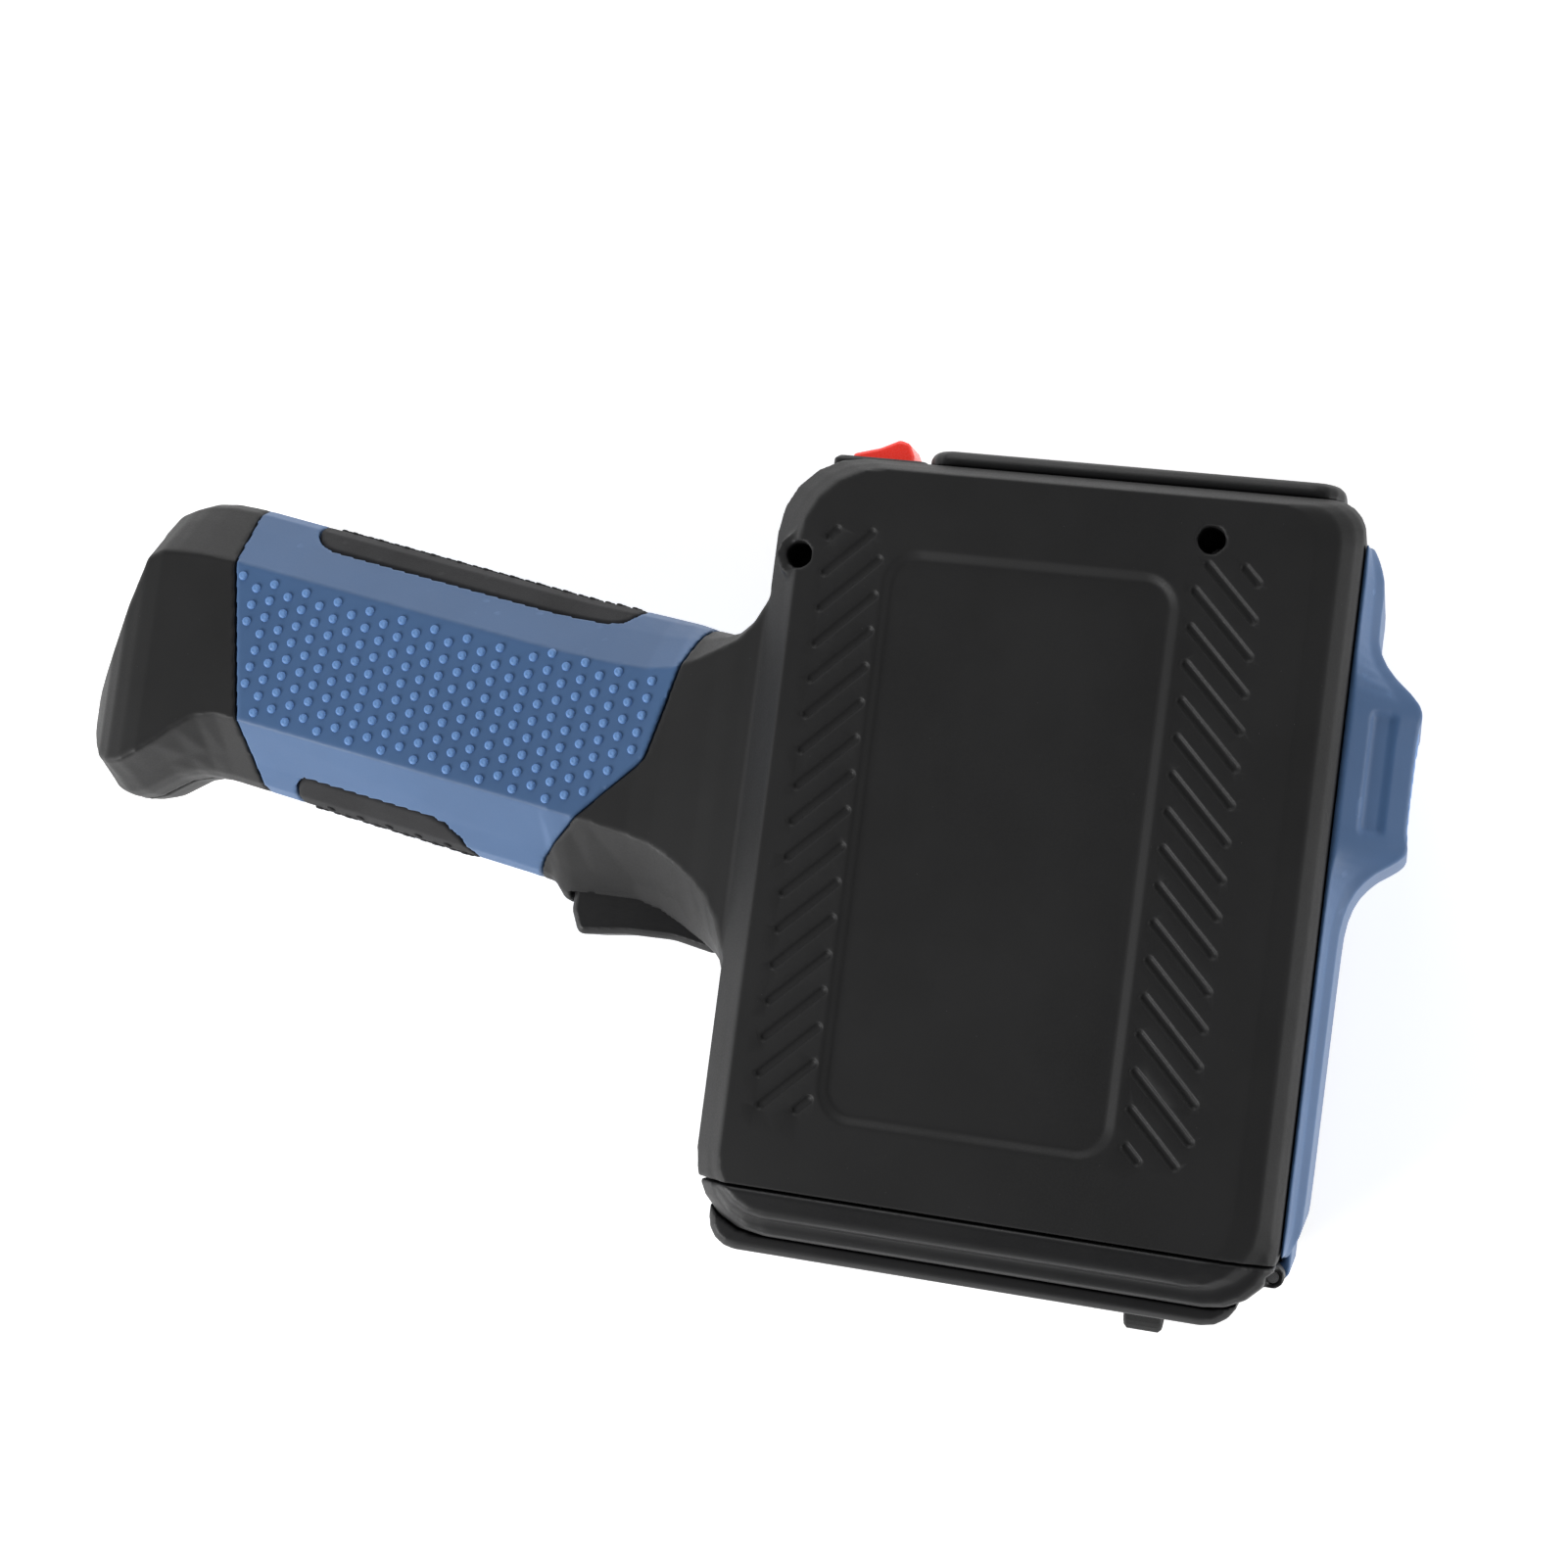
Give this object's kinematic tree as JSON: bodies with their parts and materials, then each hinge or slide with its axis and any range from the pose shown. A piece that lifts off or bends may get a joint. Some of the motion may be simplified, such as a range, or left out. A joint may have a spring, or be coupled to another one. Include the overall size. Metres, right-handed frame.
{
  "type": "hand-held label and date-code printer",
  "caption": "Hand-held ink-jet label printer with a raked pistol grip, trigger, side cartridge cover, screen, power rocker and rolling print face.",
  "frame": {"origin": "centre of the base of the bounding box, with the printer lying on its left side", "axes": "+X from the butt of the grip to the cartridge cover, +Y towards the screen side, +Z out of the right side"},
  "size_m": [0.2452, 0.1478, 0.062],
  "materials": {
    "case_black": "fine satin texture with a soft-touch coat",
    "cap_black": "smooth satin moulding",
    "grip_blue": "matte moulded grip cover with raised dots",
    "insert_black": "matte rubber with raised dots",
    "switch_red": "glossy",
    "screen_glass": "dark polished cover glass",
    "display_stack": "display module in a tinned frame",
    "steel": "bright turned steel",
    "circuit_board": "green solder mask",
    "white_plastic": "moulded",
    "cell_wrap": "heat-shrink wrapped",
    "roller_rubber": "finely ribbed rubber",
    "cartridge_black": "semi-gloss moulding",
    "contact_gold": "bright"
  },
  "bodies": {
    "body": {"right_shell": "case_black", "left_shell": "case_black", "front_cap": "cap_black", "guide_frame": "cap_black", "grip_sleeve_right": "grip_blue", "grip_sleeve_left": "grip_blue", "rear_grip_insert": "insert_black", "front_grip_insert": "insert_black", "trigger_pin": "steel", "trigger_spring": "steel", "trigger_microswitch": "cartridge_black", "screen_bezel": "cap_black", "touch_glass": "screen_glass", "lcd_module": "display_stack", "main_board": "circuit_board", "buzzer": "cartridge_black", "rocker_switch_body": "cap_black", "cover_hinge_pin": "steel", "cartridge_holder": "cap_black", "ink_cartridge": "cartridge_black", "nozzle_plate": "contact_gold", "contact_block": "white_plastic", "encoder_module": "white_plastic", "guide_roller_axle": "steel", "battery_cell_1": "cell_wrap", "battery_cell_2": "cell_wrap", "battery_cradle": "cap_black", "charge_port": "steel", "charge_board": "circuit_board", "case_screw_1": "steel", "case_screw_2": "steel", "case_screw_3": "steel", "cap_screw_1": "steel", "cap_screw_2": "steel", "cap_screw_3": "steel", "cap_screw_4": "steel"},
    "trigger": {"trigger": "cap_black"},
    "rocker": {"rocker_button": "switch_red"},
    "cover": {"cartridge_cover": "grip_blue", "cover_latch": "cap_black"},
    "encoder_wheel": {"encoder_wheel": "roller_rubber", "encoder_shaft": "steel"},
    "guide_roller": {"guide_roller": "roller_rubber"}
  },
  "joints": [
    {"name": "trigger_pull", "type": "hinge", "parent": "body", "child": "trigger", "pos_m": [0.00287, -0.01589, 0.031], "axis": [0, 0, -1], "range_deg": [0, 7], "stiffness_Nm_per_rad": 0.4, "springref_deg": -3.44},
    {"name": "rocker_tilt", "type": "hinge", "parent": "body", "child": "rocker", "pos_m": [0.02477, 0.06841, 0.0405], "axis": [0, 0, -1], "range_deg": [0, 16]},
    {"name": "cover_swing", "type": "hinge", "parent": "body", "child": "cover", "pos_m": [0.10917, -0.06119, 0.031], "axis": [0, 0, -1], "range_deg": [0, 100]},
    {"name": "encoder_roll", "type": "hinge", "parent": "body", "child": "encoder_wheel", "pos_m": [0.08867, -0.06709, 0.046], "axis": [1, 0, 0], "continuous": true},
    {"name": "guide_roll", "type": "hinge", "parent": "body", "child": "guide_roller", "pos_m": [0.06012, -0.06869, 0.014], "axis": [1, 0, 0], "continuous": true}
  ]
}
